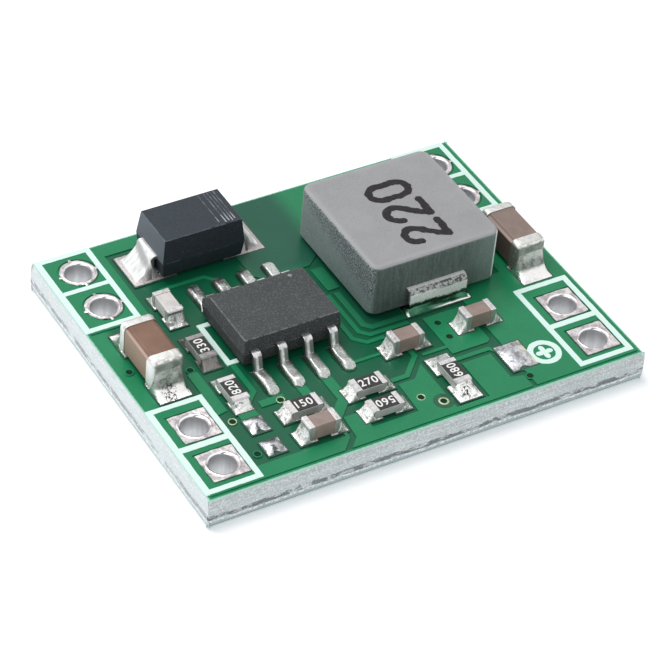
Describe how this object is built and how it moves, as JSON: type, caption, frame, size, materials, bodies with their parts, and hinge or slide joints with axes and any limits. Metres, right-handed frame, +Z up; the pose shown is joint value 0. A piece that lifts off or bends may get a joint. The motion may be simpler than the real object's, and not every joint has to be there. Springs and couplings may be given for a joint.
{
  "type": "buck converter module",
  "caption": "Small green circuit board with a moulded coil, a diode, a driver chip and chip capacitors and resistors, which steps a DC voltage down.",
  "frame": {"origin": "under the middle of the board, at the level of its underside", "axes": "+X along the board's long side, +Y towards the diode and the coil, +Z up, out of the side with the parts"},
  "size_m": [0.022, 0.017, 0.0045],
  "materials": {
    "laminate": "green mask over glass laminate, pale at the cut edges",
    "masked_copper": "copper under green mask",
    "tin": "tinned metal",
    "solder": "bright solder",
    "case_black": "moulded black case",
    "coil_grey": "pressed iron powder, grey",
    "ceramic_brown": "brown ceramic",
    "ceramic_pale": "pale ceramic",
    "ceramic_white": "white ceramic"
  },
  "bodies": {
    "root": {"circuit_board": "laminate", "top_copper": "masked_copper", "bottom_copper": "masked_copper", "plated_hole_1": "tin", "chip_lead_1": "tin", "plated_hole_2": "tin", "chip_lead_2": "tin", "plated_hole_3": "tin", "chip_lead_3": "tin", "plated_hole_4": "tin", "chip_lead_4": "tin", "plated_hole_5": "tin", "chip_lead_5": "tin", "plated_hole_6": "tin", "chip_lead_6": "tin", "plated_hole_7": "tin", "chip_lead_7": "tin", "plated_hole_8": "tin", "chip_lead_8": "tin", "chip_body": "case_black", "diode_body": "case_black", "diode_lead_left": "tin", "diode_lead_right": "tin", "coil_body": "coil_grey", "coil_terminal_front": "tin", "coil_terminal_back": "tin", "left_capacitor": "ceramic_brown", "left_capacitor_front_end": "tin", "left_capacitor_back_end": "tin", "right_capacitor": "ceramic_brown", "right_capacitor_front_end": "tin", "right_capacitor_back_end": "tin", "small_capacitor_1": "ceramic_pale", "small_capacitor_ends_1": "tin", "small_capacitor_2": "ceramic_brown", "small_capacitor_ends_2": "tin", "small_capacitor_3": "ceramic_brown", "small_capacitor_ends_3": "tin", "small_capacitor_4": "ceramic_brown", "small_capacitor_ends_4": "tin", "resistor_1": "ceramic_white", "resistor_ends_1": "tin", "resistor_2": "ceramic_white", "resistor_ends_2": "tin", "resistor_3": "ceramic_white", "resistor_ends_3": "tin", "resistor_4": "ceramic_white", "resistor_ends_4": "tin", "resistor_5": "ceramic_white", "resistor_ends_5": "tin", "resistor_6": "ceramic_white", "resistor_ends_6": "tin", "resistor_coats": "case_black", "chip_solder": "solder", "large_part_solder": "solder", "small_part_solder": "solder", "bare_pad_solder": "solder"}
  },
  "joints": []
}
